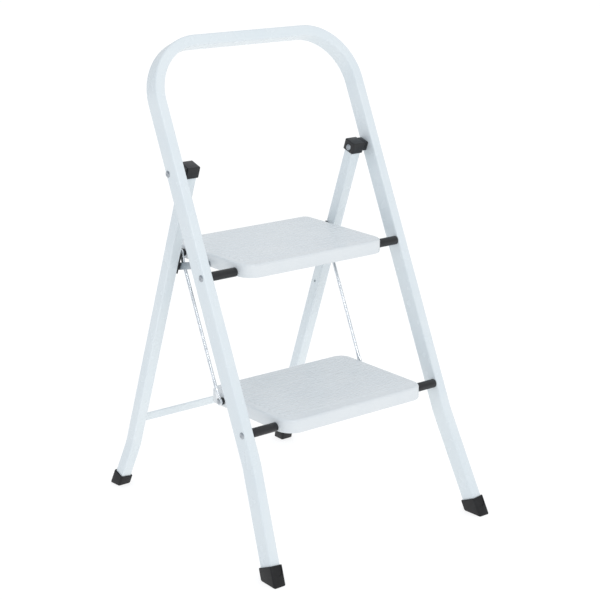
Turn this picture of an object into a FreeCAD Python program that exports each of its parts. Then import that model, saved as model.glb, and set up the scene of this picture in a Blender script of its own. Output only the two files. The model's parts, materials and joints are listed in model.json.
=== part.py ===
import FreeCAD, Part
import math
import os

# Two-step folding step stool with a hoop handrail.
# Millimetres. +X is to the right as seen from the front, +Y is to the back, +Z is up.
# The origin is on the floor, midway between the sides and midway between the front and back feet.

V = FreeCAD.Vector
os.makedirs("parts", exist_ok=True)

# ---------------------------------------------------------------- driving dimensions
STEP_RISE = 230.0              # floor to lower tread, and lower tread to upper tread
HOOP_HEIGHT = 795.0            # floor to the middle of the hoop's outer face
HINGE_HEIGHT = 595.5           # floor to the pivot between the two frames
FRONT_LEAN = 24.7              # degrees from upright, top leans back
REAR_LEAN = 18.4               # degrees from upright, top leans forward

FRONT_TUBE_DEPTH = 30.0        # across the front frame's plane
FRONT_TUBE_WIDTH = 18.0        # along X on the straight legs
FRONT_TUBE_CORNER = 4.0
REAR_TUBE = 20.0               # square tube
REAR_TUBE_CORNER = 3.0
TUBE_WALL = 1.5
LEAST_CORNER = 0.5             # inside a tube
FRONT_HALF_SPACING = 206.0     # middle of each straight front leg from the middle plane
FRONT_FOOT_SPLAY = 16.5        # how much further out each front foot stands
FRONT_SPLAY_HEIGHT = 168.0     # height of the bend that starts the splay
REAR_FOOT_SPLAY = 11.5
REAR_SPLAY_HEIGHT = 80.0
SPLAY_BEND_RADIUS = 160.0
HOOP_CORNER_RADIUS = 94.0      # to the middle of the tube
FRAME_GAP = 13.0               # between a front leg and the rear leg beside it

TREAD_DEPTH = 212.0
TREAD_SKIRT = 22.5             # height of the pressed edge
TREAD_SHEET = 1.4
TREAD_EDGE_ROUND = 4.0         # rounding between the top and the skirt
TREAD_FRONT_CORNER = 28.0
UPPER_REAR_CORNER = 12.0
LOWER_REAR_CORNER = 22.0
TREAD_LIP = 9.0                # turned-in lip along the bottom of the skirt
PIVOT_FROM_EDGE = 31.5         # tread pivot behind the tread's front edge
PIVOT_BELOW_TOP = 15.7
PIVOT_FORWARD = 7.4            # tread pivots sit in front of the front leg's middle line
HINGE_BACKWARD = 9.15          # frame pivot sits behind it

RIB_COUNT = 14
RIB_PITCH = 12.85
RIB_WIDTH = 5.0
RIB_RISE = 0.9
RIB_SIDE_MARGIN = 16.0
RIB_BACK_SHIFT = 3.0           # the smooth strip is wider at the front than at the rear

PIVOT_ROD = 8.0                # diameter
SLEEVE_OUTER = 15.0
SLEEVE_CHAMFER = 0.8
RIVET_HEAD = 11.0
RIVET_HEAD_RISE = 1.8
HINGE_RIVET = 7.0

TIE_ROD = 5.6
TIE_EYE = 13.0
TIE_EYE_THICKNESS = 3.0
TIE_TONGUE = 9.0               # width of the flattened end behind the eye
TIE_NECK = 16.0                # length over which the rod flattens into its eye
TIE_BEHIND_PIVOT = 139.0       # tie pivots behind the tread pivots
TIE_ABOVE_PIVOT = 3.3
TIE_RIVET = 5.0
TIE_RIVET_HEAD = 9.0
TIE_RIVET_RISE = 1.4
TIE_BUSH_OUTER = 12.5
TIE_BUSH_LENGTH = 4.8

LINK_THICKNESS = 3.0
LINK_WIDTH = 12.0
LINK_RIVET = 6.0
LINK_RIVET_HEAD = 10.5
LINK_RIVET_RISE = 0.8          # low, to stay clear of the tie rod
BLIND_HEAD = 9.0               # the link rivet's end inside the rear leg
BLIND_HEAD_LENGTH = 4.0
STUD_COLLAR = 11.0
STUD_COLLAR_LENGTH = 1.7
LINK_BELOW_TOP = 36.0          # rear pivot of the fold link below the upper tread's top
LINK_FRONT_BELOW_TOP = 18.0    # front end of the fold link below it
TREAD_FOLD_SHORTFALL = 10.0    # degrees short of lying along the front legs

GUIDE_THICKNESS = 2.4          # nylon guide on the rear leg's inner face
GUIDE_HEIGHT = 38.0
GUIDE_CORNER = 1.0
GUIDE_BELOW_RIVET = 8.0
CAP_WALL = 2.2
CAP_HEIGHT = 20.0
CAP_ABOVE_HINGE = 12.1         # top of the hinge cap above the hinge, along the leg
CAP_TOP = 2.0
CAP_CORNER = 2.6
CAP_RIM_ROUND = 1.5
CAP_SEAM = 0.9                 # groove between the cap and its boss
BOSS_SHORTER = 3.0             # the boss ends this far above the cap's bottom
BAR_HEIGHT = 15.0              # lower brace, flat bar
BAR_THICKNESS = 3.0
BAR_CORNER = 1.0
BAR_CENTRE_HEIGHT = 131.0
FOOT_WALL = 2.5
FOOT_ROUND = 2.4               # around the sole
FOOT_RIM_ROUND = 1.0
FRONT_FOOT_HEIGHT = 24.5
REAR_FOOT_HEIGHT = 21.0
FOOT_SOLE = 4.0
VENT_HOLE = 5.0
VENT_BELOW_TOP = 122.0         # vent holes in the rear legs, below the upper tread's top
STIFFENER_WIDTH = 44.0
STIFFENER_HEIGHT = 12.0
STIFFENER_FLANGE = 10.0

# ---------------------------------------------------------------- clearances
RUN = 0.05                     # radial, a turning shaft in its hole
FACE_GAP = 0.3                 # between faces that slide past each other
SIDE_GAP = 0.1                 # between the thin parts stacked beside a tread
ROD_GAP = 0.4                  # between a tie rod or its rivet and the fold link or its rivet
FOLD_GAP = 0.6                 # between a folded rear leg and the pivot sleeves
PAST = 5.0                     # how far cutting tools reach past what they cut

# ---------------------------------------------------------------- derived positions
front_lean = math.radians(FRONT_LEAN)
rear_lean = math.radians(REAR_LEAN)
UPPER_TOP = 2 * STEP_RISE
LOWER_TOP = STEP_RISE

foot_half_front = (FRONT_TUBE_DEPTH / 2 + FOOT_WALL) / math.cos(front_lean)
foot_half_rear = (REAR_TUBE / 2 + FOOT_WALL) / math.cos(rear_lean)
hinge_run = HINGE_HEIGHT * (math.tan(front_lean) + math.tan(rear_lean))
foot_spread = hinge_run + HINGE_BACKWARD / math.cos(front_lean)
FRONT_FOOT_Y = -(foot_spread + foot_half_rear - foot_half_front) / 2
REAR_FOOT_Y = FRONT_FOOT_Y + foot_spread


def front_line(height, behind=0.0):
    """Point (y, z) near the front leg's middle line, a distance behind it."""
    y = FRONT_FOOT_Y + height * math.tan(front_lean)
    return (y + behind * math.cos(front_lean), height - behind * math.sin(front_lean))


def rear_line(height):
    """Point (y, z) on the rear leg's middle line."""
    return (REAR_FOOT_Y - height * math.tan(rear_lean), height)


def turn(point, centre, angle):
    """A (y, z) point turned about a centre; positive lifts what is behind the centre."""
    dy, dz = point[0] - centre[0], point[1] - centre[1]
    c, s = math.cos(angle), math.sin(angle)
    return (centre[0] + dy * c - dz * s, centre[1] + dy * s + dz * c)


def distance(a, b):
    return math.hypot(a[0] - b[0], a[1] - b[1])


HINGE = rear_line(HINGE_HEIGHT)


def tread_pivot(top):
    """The pivot stands the stated distance in front of the leg's middle line, below the top."""
    z = top - PIVOT_BELOW_TOP
    on_line = z - PIVOT_FORWARD * math.sin(front_lean)
    return front_line(on_line, -PIVOT_FORWARD)


UPPER_PIVOT = tread_pivot(UPPER_TOP)
LOWER_PIVOT = tread_pivot(LOWER_TOP)

FRONT_INNER = FRONT_HALF_SPACING - FRONT_TUBE_WIDTH / 2
FRONT_OUTER = FRONT_HALF_SPACING + FRONT_TUBE_WIDTH / 2
REAR_OUTER = FRONT_INNER - FRAME_GAP
REAR_HALF_SPACING = REAR_OUTER - REAR_TUBE / 2
REAR_INNER = REAR_OUTER - REAR_TUBE

# Layers along X from the rear leg's inner face to a tread's side: guide, fold link, tie rod, bush.
LINK_OUTER_X = REAR_INNER - GUIDE_THICKNESS - SIDE_GAP
LINK_INNER_X = LINK_OUTER_X - LINK_THICKNESS
rod_proud = (TIE_ROD - TIE_EYE_THICKNESS) / 2
rod_space = max(rod_proud + LINK_RIVET_RISE, TIE_RIVET_RISE) + SIDE_GAP + ROD_GAP
TIE_X = LINK_INNER_X - rod_space - TIE_EYE_THICKNESS / 2
TREAD_HALF_WIDTH = TIE_X - TIE_EYE_THICKNESS / 2 - SIDE_GAP - TIE_BUSH_LENGTH

# Folding: the rear legs stop against the upper sleeves, the treads stop short of the legs.
sleeve_ahead = HINGE_BACKWARD + PIVOT_FORWARD - SLEEVE_OUTER / 2
hinge_to_upper = distance(HINGE, UPPER_PIVOT)
rear_shortfall = math.asin(max(REAR_TUBE / 2 + FOLD_GAP - sleeve_ahead, 0) / hinge_to_upper)
REAR_FOLD = front_lean + rear_lean - rear_shortfall
TREAD_FOLD = math.pi / 2 - front_lean - math.radians(TREAD_FOLD_SHORTFALL)

# Fold link: its front end lies where it is as far from the rear pivot open as folded.
LINK_REAR = rear_line(UPPER_TOP - LINK_BELOW_TOP)
folded_rear = turn(LINK_REAR, HINGE, -REAR_FOLD)
folded_in_tread = turn(folded_rear, UPPER_PIVOT, -TREAD_FOLD)
mid = ((LINK_REAR[0] + folded_in_tread[0]) / 2, (LINK_REAR[1] + folded_in_tread[1]) / 2)
across = (LINK_REAR[0] - folded_in_tread[0], LINK_REAR[1] - folded_in_tread[1])
link_front_z = UPPER_TOP - LINK_FRONT_BELOW_TOP
LINK_FRONT = (mid[0] - (link_front_z - mid[1]) * across[1] / across[0], link_front_z)

UPPER_TIE = (UPPER_PIVOT[0] + TIE_BEHIND_PIVOT, UPPER_PIVOT[1] + TIE_ABOVE_PIVOT)
LOWER_TIE = (LOWER_PIVOT[0] + TIE_BEHIND_PIVOT, LOWER_PIVOT[1] + TIE_ABOVE_PIVOT)

SIDES = (("left", -1), ("right", 1))


# ---------------------------------------------------------------- shape helpers
def rounded_rectangle(width, depth, corner):
    """Closed wire in the XY plane, centred, with round corners."""
    w, d, r = width / 2, depth / 2, corner
    k = r * (1 - math.sqrt(0.5))
    edges = []
    for sx, sy in ((1, 1), (-1, 1), (-1, -1), (1, -1)):
        ends = [V(sx * w, sy * (d - r), 0), V(sx * (w - k), sy * (d - k), 0), V(sx * (w - r), sy * d, 0)]
        if sx * sy < 0:
            ends.reverse()
        edges.append(Part.Arc(*ends).toShape())
    sides = []
    for i, arc in enumerate(edges):
        start = arc.Vertexes[-1].Point
        end = edges[(i + 1) % 4].Vertexes[0].Point
        sides.append(arc)
        if start.distanceToPoint(end) > 1e-6:
            sides.append(Part.makeLine(start, end))
    return Part.Wire(Part.__sortEdges__(sides))


def plate(wire, height, z=0.0):
    """Straight prism on a closed XY wire."""
    solid = Part.Face(wire).extrude(V(0, 0, height))
    solid.translate(V(0, 0, z))
    return solid


def rounded_block(width, depth, height, corner, z=0.0):
    return plate(rounded_rectangle(width, depth, corner), height, z)


def x_cylinder(diameter, x0, x1, point):
    """Cylinder along X between two stations, through a (y, z) point."""
    low, high = min(x0, x1), max(x0, x1)
    return Part.makeCylinder(diameter / 2, high - low, V(low, point[0], point[1]), V(1, 0, 0))


def dome(diameter, rise, x, outward, point):
    """Rivet head: a shallow dome standing on the plane at x."""
    radius = (diameter ** 2 / 4 + rise ** 2) / (2 * rise)
    ball = Part.makeSphere(radius, V(x + outward * (rise - radius), point[0], point[1]))
    keep = x_cylinder(diameter + PAST, x, x + outward * (rise + PAST), point)
    return ball.common(keep)


def joined(shapes):
    """One solid from overlapping or touching shapes."""
    result = shapes[0].multiFuse(list(shapes[1:])) if len(shapes) > 1 else shapes[0]
    return result.removeSplitter()


def path_with_bends(points, radii):
    """Wire through the points, each inner corner rounded by a tangent arc."""
    edges = []
    start = points[0]
    for i in range(1, len(points) - 1):
        before = (points[i - 1] - points[i]).normalize()
        after = (points[i + 1] - points[i]).normalize()
        half = before.getAngle(after) / 2
        setback = radii[i - 1] / math.tan(half)
        tangent_in = points[i] + before * setback
        tangent_out = points[i] + after * setback
        middle = (before + after).normalize()
        arc_mid = points[i] + middle * (radii[i - 1] / math.sin(half) - radii[i - 1])
        edges.append(Part.LineSegment(start, tangent_in).toShape())
        edges.append(Part.Arc(tangent_in, arc_mid, tangent_out).toShape())
        start = tangent_out
    edges.append(Part.LineSegment(start, points[-1]).toShape())
    return Part.Wire(edges)


def swept(path, width, depth, corner):
    """Solid along a path in the XZ plane; width lies in that plane, depth across it."""
    first = path.Edges[0]
    direction = first.tangentAt(first.FirstParameter)
    profile = rounded_rectangle(width, depth, corner)
    turn_to = FreeCAD.Rotation(V(0, 0, 1), direction)
    profile.Placement = FreeCAD.Placement(first.valueAt(first.FirstParameter), turn_to)
    return path.makePipeShell([profile], True, False)


def swept_tube(path, width, depth, corner):
    outer = swept(path, width, depth, corner)
    inner_corner = max(corner - TUBE_WALL, LEAST_CORNER)
    inner = swept(path, width - 2 * TUBE_WALL, depth - 2 * TUBE_WALL, inner_corner)
    return outer.cut(inner)


def leaned(shape, lean, foot_y):
    """Tilts a shape drawn in the XZ plane about the floor line, then moves it to its foot."""
    shape = shape.copy()
    shape.rotate(V(0, 0, 0), V(1, 0, 0), math.degrees(lean))
    shape.translate(V(0, foot_y, 0))
    return shape


def leaned_front(shape):
    return leaned(shape, -front_lean, FRONT_FOOT_Y)


def leaned_rear(shape):
    return leaned(shape, rear_lean, REAR_FOOT_Y)


def along_front(height):
    return height / math.cos(front_lean)


def along_rear(height):
    return height / math.cos(rear_lean)


def above_floor(shape, height):
    """What lies above a level."""
    size = 3 * HOOP_HEIGHT
    return shape.common(Part.makeBox(size, size, size, V(-size / 2, -size / 2, height)))


def top_edges(shape, height):
    """Edges that lie wholly in the plane at a height."""
    return [e for e in shape.Edges if abs(e.BoundBox.ZMin - height) + abs(e.BoundBox.ZMax - height) < 1e-5]


# ---------------------------------------------------------------- front frame
def front_frame():
    """One tube bent into a hoop, drilled for the frame hinge and the two pivot rods."""
    foot_x = FRONT_HALF_SPACING + FRONT_FOOT_SPLAY
    top = along_front(HOOP_HEIGHT) - FRONT_TUBE_WIDTH / 2
    bend = along_front(FRONT_SPLAY_HEIGHT)
    points = [V(-foot_x, 0, 0), V(-FRONT_HALF_SPACING, 0, bend), V(-FRONT_HALF_SPACING, 0, top)]
    points += [V(-p.x, 0, p.z) for p in reversed(points)]
    radii = [SPLAY_BEND_RADIUS, HOOP_CORNER_RADIUS, HOOP_CORNER_RADIUS, SPLAY_BEND_RADIUS]
    path = path_with_bends(points, radii)
    tube = leaned_front(swept_tube(path, FRONT_TUBE_WIDTH, FRONT_TUBE_DEPTH, FRONT_TUBE_CORNER))
    tube = above_floor(tube, FOOT_SOLE)
    reach = FRONT_OUTER + PAST
    for diameter, point in ((HINGE_RIVET, HINGE), (PIVOT_ROD, UPPER_PIVOT), (PIVOT_ROD, LOWER_PIVOT)):
        tube = tube.cut(x_cylinder(diameter, -reach, reach, point))
    return tube


def foot(side, half_spacing, splay, splay_height, width, depth, corner, boot_height, to_place):
    """Rubber boot over a leg's end, cut flat on the floor and rounded around the sole."""
    splay_angle = math.degrees(math.atan2(splay, splay_height))
    below = depth
    boot = rounded_block(width + 2 * FOOT_WALL, depth + 2 * FOOT_WALL, boot_height + below,
                         corner + FOOT_WALL, -below)
    boot = boot.makeFillet(FOOT_RIM_ROUND, top_edges(boot, boot_height))
    leg_space = rounded_block(width, depth, boot_height + 2 * below, corner, -below)
    placed = []
    for block in (boot, leg_space):
        block.rotate(V(0, 0, 0), V(0, 1, 0), -side * splay_angle)
        block.translate(V(side * (half_spacing + splay), 0, 0))
        placed.append(to_place(block))
    boot = above_floor(placed[0], 0)
    boot = boot.makeFillet(FOOT_ROUND, top_edges(boot, 0))
    return boot.cut(above_floor(placed[1], FOOT_SOLE))


def front_foot(side):
    bend = along_front(FRONT_SPLAY_HEIGHT)
    return foot(side, FRONT_HALF_SPACING, FRONT_FOOT_SPLAY, bend, FRONT_TUBE_WIDTH,
                FRONT_TUBE_DEPTH, FRONT_TUBE_CORNER, along_front(FRONT_FOOT_HEIGHT), leaned_front)


def frame_rivet(side):
    """Steel rivet through the front leg, the hinge cap and the rear leg."""
    inner_end = REAR_INNER - CAP_WALL
    shank = x_cylinder(HINGE_RIVET, side * inner_end, side * FRONT_OUTER, HINGE)
    outer_head = dome(RIVET_HEAD, RIVET_HEAD_RISE, side * FRONT_OUTER, side, HINGE)
    inner_x = side * (inner_end - FACE_GAP)
    inner_head = dome(RIVET_HEAD, RIVET_HEAD_RISE, inner_x, -side, HINGE)
    neck = x_cylinder(HINGE_RIVET, inner_x, side * inner_end, HINGE)
    return joined([shank, neck, outer_head, inner_head])


# ---------------------------------------------------------------- pivot rods and sleeves
def pivot_rod(point):
    """Steel rod across both front legs, its ends riveted over outside."""
    rod = x_cylinder(PIVOT_ROD, -FRONT_OUTER, FRONT_OUTER, point)
    heads = [dome(RIVET_HEAD, RIVET_HEAD_RISE, side * FRONT_OUTER, side, point) for _, side in SIDES]
    return joined([rod] + heads)


def sleeve(side, point):
    """Plastic spacer tube on the rod, between the tread and the front leg."""
    inner = TREAD_HALF_WIDTH + FACE_GAP
    tube = x_cylinder(SLEEVE_OUTER, side * inner, side * FRONT_INNER, point)
    rims = [e for e in tube.Edges if abs(e.Length - math.pi * SLEEVE_OUTER) < 1e-3]
    tube = tube.makeChamfer(SLEEVE_CHAMFER, rims)
    return tube.cut(x_cylinder(PIVOT_ROD, -FRONT_OUTER, FRONT_OUTER, point))


# ---------------------------------------------------------------- rear frame
def rear_leg(side):
    """Square tube, splayed at the foot, drilled for the hinge, the fold link and a vent."""
    foot_x = REAR_HALF_SPACING + REAR_FOOT_SPLAY
    top = along_rear(HINGE_HEIGHT) + CAP_ABOVE_HINGE - CAP_TOP
    points = [V(side * foot_x, 0, 0), V(side * REAR_HALF_SPACING, 0, along_rear(REAR_SPLAY_HEIGHT)),
              V(side * REAR_HALF_SPACING, 0, top)]
    path = path_with_bends(points, [SPLAY_BEND_RADIUS])
    tube = leaned_rear(swept_tube(path, REAR_TUBE, REAR_TUBE, REAR_TUBE_CORNER))
    tube = above_floor(tube, FOOT_SOLE)
    reach = side * (REAR_OUTER + PAST)
    tube = tube.cut(x_cylinder(HINGE_RIVET + 2 * RUN, 0, reach, HINGE))
    tube = tube.cut(x_cylinder(LINK_RIVET, 0, side * REAR_HALF_SPACING, LINK_REAR))
    vent = rear_line(UPPER_TOP - VENT_BELOW_TOP)
    return tube.cut(x_cylinder(VENT_HOLE, 0, side * REAR_HALF_SPACING, vent))


def rear_foot(side):
    bend = along_rear(REAR_SPLAY_HEIGHT)
    return foot(side, REAR_HALF_SPACING, REAR_FOOT_SPLAY, bend, REAR_TUBE, REAR_TUBE,
                REAR_TUBE_CORNER, along_rear(REAR_FOOT_HEIGHT), leaned_rear)


def hinge_cap(side):
    """Moulded cap over the rear leg's top, with a boss that fills the gap to the front leg."""
    outside = REAR_TUBE + 2 * CAP_WALL
    top = along_rear(HINGE_HEIGHT) + CAP_ABOVE_HINGE
    bottom = top - CAP_HEIGHT
    shell = rounded_block(outside, outside, CAP_HEIGHT, CAP_CORNER, bottom)
    shell = shell.makeFillet(CAP_RIM_ROUND, top_edges(shell, top))
    socket = rounded_block(REAR_TUBE, REAR_TUBE, CAP_HEIGHT - CAP_TOP, REAR_TUBE_CORNER, bottom)
    for block in (shell, socket):
        block.translate(V(side * REAR_HALF_SPACING, 0, 0))
    boss_end = FRONT_INNER - FACE_GAP
    boss_start = REAR_OUTER + CAP_WALL - CAP_CORNER
    boss_height = CAP_HEIGHT - BOSS_SHORTER - CAP_SEAM
    boss = rounded_block(boss_end - boss_start, REAR_TUBE, boss_height, CAP_RIM_ROUND,
                         bottom + BOSS_SHORTER)
    boss.translate(V(side * (boss_end + boss_start) / 2, 0, 0))
    cap = leaned_rear(shell.fuse(boss).cut(socket).removeSplitter())
    return cap.cut(x_cylinder(HINGE_RIVET + 2 * RUN, 0, side * (FRONT_INNER + PAST), HINGE))


def rear_brace():
    """Flat steel brace between the rear legs, below the lower tread."""
    bottom = along_rear(BAR_CENTRE_HEIGHT) - BAR_HEIGHT / 2
    return leaned_rear(rounded_block(2 * REAR_INNER, BAR_THICKNESS, BAR_HEIGHT, BAR_CORNER, bottom))


def link_rivet(side):
    """Blind rivet through the fold link's rear eye, the guide and the rear leg's inner wall."""
    head_x = side * (LINK_INNER_X - SIDE_GAP)
    wall_x = side * (REAR_INNER + TUBE_WALL)
    blind_x = wall_x + side * BLIND_HEAD_LENGTH
    shank = x_cylinder(LINK_RIVET, head_x, wall_x, LINK_REAR)
    inner = dome(LINK_RIVET_HEAD, LINK_RIVET_RISE, head_x, -side, LINK_REAR)
    return joined([shank, inner, x_cylinder(BLIND_HEAD, wall_x, blind_x, LINK_REAR)])


def leg_guide(side):
    """Nylon guide plate on the rear leg's inner face, behind the fold link."""
    bottom = along_rear(LINK_REAR[1]) - GUIDE_BELOW_RIVET
    block = rounded_block(GUIDE_THICKNESS, REAR_TUBE, GUIDE_HEIGHT, GUIDE_CORNER, bottom)
    block.translate(V(side * (REAR_INNER - GUIDE_THICKNESS / 2), 0, 0))
    return leaned_rear(block).cut(x_cylinder(LINK_RIVET, 0, side * REAR_OUTER, LINK_REAR))


# ---------------------------------------------------------------- treads
def tread_outline(rear_corner, inset=0.0):
    """Plan of a tread from its pivot: larger corners at the front than at the rear."""
    side = TREAD_HALF_WIDTH - inset
    front = inset - PIVOT_FROM_EDGE
    back = TREAD_DEPTH - PIVOT_FROM_EDGE - inset
    front_radius = max(TREAD_FRONT_CORNER - inset, TREAD_SHEET)
    rear_radius = max(rear_corner - inset, TREAD_SHEET)
    corners = ((side - front_radius, front + front_radius, front_radius, -90),
               (side - rear_radius, back - rear_radius, rear_radius, 0),
               (rear_radius - side, back - rear_radius, rear_radius, 90),
               (front_radius - side, front + front_radius, front_radius, 180))
    arcs = []
    for x, y, radius, start in corners:
        turns = [math.radians(start + step) for step in (0, 45, 90)]
        points = [V(x + radius * math.cos(a), y + radius * math.sin(a), 0) for a in turns]
        arcs.append(Part.Arc(*points).toShape())
    edges = []
    for arc, following in zip(arcs, arcs[1:] + arcs[:1]):
        edges.append(arc)
        edges.append(Part.makeLine(arc.Vertexes[-1].Point, following.Vertexes[0].Point))
    return Part.Wire(edges)


def pan_block(rear_corner, inset, top, bottom):
    """Solid block under a tread's top, its upper rim rounded; z is measured from the pivot."""
    block = plate(tread_outline(rear_corner, inset), top - bottom, bottom)
    return block.makeFillet(TREAD_EDGE_ROUND - inset, top_edges(block, top))


def tread_ribs(top):
    """Low ribs with round ends across the tread, pressed up from the top."""
    radius = (RIB_WIDTH ** 2 / 4 + RIB_RISE ** 2) / (2 * RIB_RISE)
    half_length = TREAD_HALF_WIDTH - RIB_SIDE_MARGIN
    middle = TREAD_DEPTH / 2 - PIVOT_FROM_EDGE + RIB_BACK_SHIFT
    z = top + RIB_RISE - radius
    ribs = []
    for i in range(RIB_COUNT):
        y = middle + (i - (RIB_COUNT - 1) / 2) * RIB_PITCH
        ribs.append(Part.makeCylinder(radius, 2 * half_length, V(-half_length, y, z), V(1, 0, 0)))
        ribs += [Part.makeSphere(radius, V(x, y, z)) for x in (-half_length, half_length)]
    width = 2 * TREAD_HALF_WIDTH
    proud = Part.makeBox(width, TREAD_DEPTH, TREAD_SHEET / 2 + RIB_RISE,
                         V(-width / 2, -PIVOT_FROM_EDGE, top - TREAD_SHEET / 2))
    return [rib.common(proud) for rib in ribs]


def tread(rear_corner, pivot):
    """Pressed steel pan: ribbed top, skirt all round and a lip turned in along its bottom."""
    top = PIVOT_BELOW_TOP
    bottom = top - TREAD_SKIRT
    pan = pan_block(rear_corner, 0.0, top, bottom)
    hollow = pan_block(rear_corner, TREAD_SHEET, top - TREAD_SHEET, bottom + TREAD_SHEET)
    mouth = plate(tread_outline(rear_corner, TREAD_LIP), TREAD_SKIRT / 2, bottom - TREAD_SHEET)
    pan = pan.cut(hollow.fuse(mouth))
    pan = pan.multiFuse(tread_ribs(top)).removeSplitter()
    pan.translate(V(0, pivot[0], pivot[1]))
    reach = TREAD_HALF_WIDTH + PAST
    pan = pan.cut(x_cylinder(PIVOT_ROD + 2 * RUN, -reach, reach, pivot))
    tie = (pivot[0] + TIE_BEHIND_PIVOT, pivot[1] + TIE_ABOVE_PIVOT)
    return pan.cut(x_cylinder(TIE_RIVET, -reach, reach, tie))


def tread_stiffener(pivot):
    """Hat-shaped steel stiffener spot-welded under the tread's middle."""
    length = 2 * (TREAD_HALF_WIDTH - TREAD_EDGE_ROUND)
    top = PIVOT_BELOW_TOP - TREAD_SHEET
    middle = TREAD_DEPTH / 2 - PIVOT_FROM_EDGE

    def strip(width, height, z, y=middle):
        return Part.makeBox(length, width, height, V(-length / 2, y - width / 2, z))

    channel = strip(STIFFENER_WIDTH, STIFFENER_HEIGHT, top - STIFFENER_HEIGHT)
    groove_height = STIFFENER_HEIGHT - TREAD_SHEET
    groove = strip(STIFFENER_WIDTH - 2 * TREAD_SHEET, groove_height, top - groove_height)
    channel = channel.cut(groove)
    for edge in (-1, 1):
        y = middle + edge * (STIFFENER_WIDTH + STIFFENER_FLANGE) / 2
        channel = channel.fuse(strip(STIFFENER_FLANGE, TREAD_SHEET, top - TREAD_SHEET, y))
    channel = channel.removeSplitter()
    channel.translate(V(0, pivot[0], pivot[1]))
    return channel


def tie_rivet(side, point):
    """Rivet through the tread's side, the bush and the tie rod's eye."""
    inner_x = side * (TREAD_HALF_WIDTH - TREAD_SHEET)
    outer_x = side * (TIE_X + TIE_EYE_THICKNESS / 2 + SIDE_GAP)
    shank = x_cylinder(TIE_RIVET, inner_x, outer_x, point)
    outer = dome(TIE_RIVET_HEAD, TIE_RIVET_RISE, outer_x, side, point)
    inner = dome(TIE_RIVET_HEAD, TIE_RIVET_RISE, inner_x, -side, point)
    return joined([shank, outer, inner])


def tie_bush(side, point):
    """Black plastic bush that keeps the tie rod clear of the tread."""
    outer_x = side * (TREAD_HALF_WIDTH + TIE_BUSH_LENGTH)
    bush = x_cylinder(TIE_BUSH_OUTER, side * TREAD_HALF_WIDTH, outer_x, point)
    return bush.cut(x_cylinder(TIE_RIVET, 0, side * REAR_INNER, point))


# ---------------------------------------------------------------- links
def tie_rod(side):
    """Plated rod between the treads, its ends pressed flat and pierced."""
    x = side * TIE_X
    lower = V(x, LOWER_TIE[0], LOWER_TIE[1])
    upper = V(x, UPPER_TIE[0], UPPER_TIE[1])
    up = (upper - lower).normalize()
    to_up = FreeCAD.Rotation(V(0, 0, 1), up)
    tongue_length = TIE_EYE / 2 + TIE_EYE_THICKNESS
    round_from = tongue_length + TIE_NECK
    round_length = lower.distanceToPoint(upper) - 2 * round_from
    pieces = [Part.makeCylinder(TIE_ROD / 2, round_length, lower + up * round_from, up)]
    for centre, inward in ((lower, up), (upper, -up)):
        point = (centre.y, centre.z)
        pieces.append(x_cylinder(TIE_EYE, x - TIE_EYE_THICKNESS / 2, x + TIE_EYE_THICKNESS / 2, point))
        flat = rounded_rectangle(TIE_EYE_THICKNESS, TIE_TONGUE, TIE_EYE_THICKNESS / 2 - SIDE_GAP)
        flat.Placement = FreeCAD.Placement(centre, to_up)
        pieces.append(Part.Face(flat).extrude(inward * tongue_length))
        flat.Placement = FreeCAD.Placement(centre + inward * tongue_length, to_up)
        end = rounded_rectangle(TIE_ROD, TIE_ROD, TIE_ROD / 2 - SIDE_GAP)
        end.Placement = FreeCAD.Placement(centre + inward * round_from, to_up)
        pieces.append(Part.makeLoft([flat, end], True))
    rod = joined(pieces)
    for point in (UPPER_TIE, LOWER_TIE):
        rod = rod.cut(x_cylinder(TIE_RIVET + 2 * RUN, 0, 2 * x, point))
    return rod


def fold_link(side):
    """Flat strip from the rear leg towards the upper tread, with rounded ends."""
    x0, x1 = side * LINK_INNER_X, side * LINK_OUTER_X
    dy, dz = LINK_FRONT[0] - LINK_REAR[0], LINK_FRONT[1] - LINK_REAR[1]
    length = math.hypot(dy, dz)
    strip = Part.makeBox(LINK_THICKNESS, length, LINK_WIDTH, V(min(x0, x1), 0, -LINK_WIDTH / 2))
    strip.rotate(V(0, 0, 0), V(1, 0, 0), math.degrees(math.atan2(dz, dy)))
    strip.translate(V(0, LINK_REAR[0], LINK_REAR[1]))
    ends = [x_cylinder(LINK_WIDTH, x0, x1, point) for point in (LINK_REAR, LINK_FRONT)]
    link = joined([strip] + ends)
    link = link.cut(x_cylinder(LINK_RIVET + 2 * RUN, 0, 2 * x1, LINK_REAR))
    return link.cut(x_cylinder(LINK_RIVET, 0, 2 * x1, LINK_FRONT))


def link_stud(side):
    """Stud in the fold link's front end; it reaches to just short of the tread's side."""
    start = TREAD_HALF_WIDTH + FACE_GAP
    shank = x_cylinder(LINK_RIVET, side * start, side * LINK_OUTER_X, LINK_FRONT)
    collar = x_cylinder(STUD_COLLAR, side * start, side * (start + STUD_COLLAR_LENGTH), LINK_FRONT)
    return joined([shank, collar])


# ---------------------------------------------------------------- build
def save(name, shape):
    shape.exportStep("parts/" + name + ".step")


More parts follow.
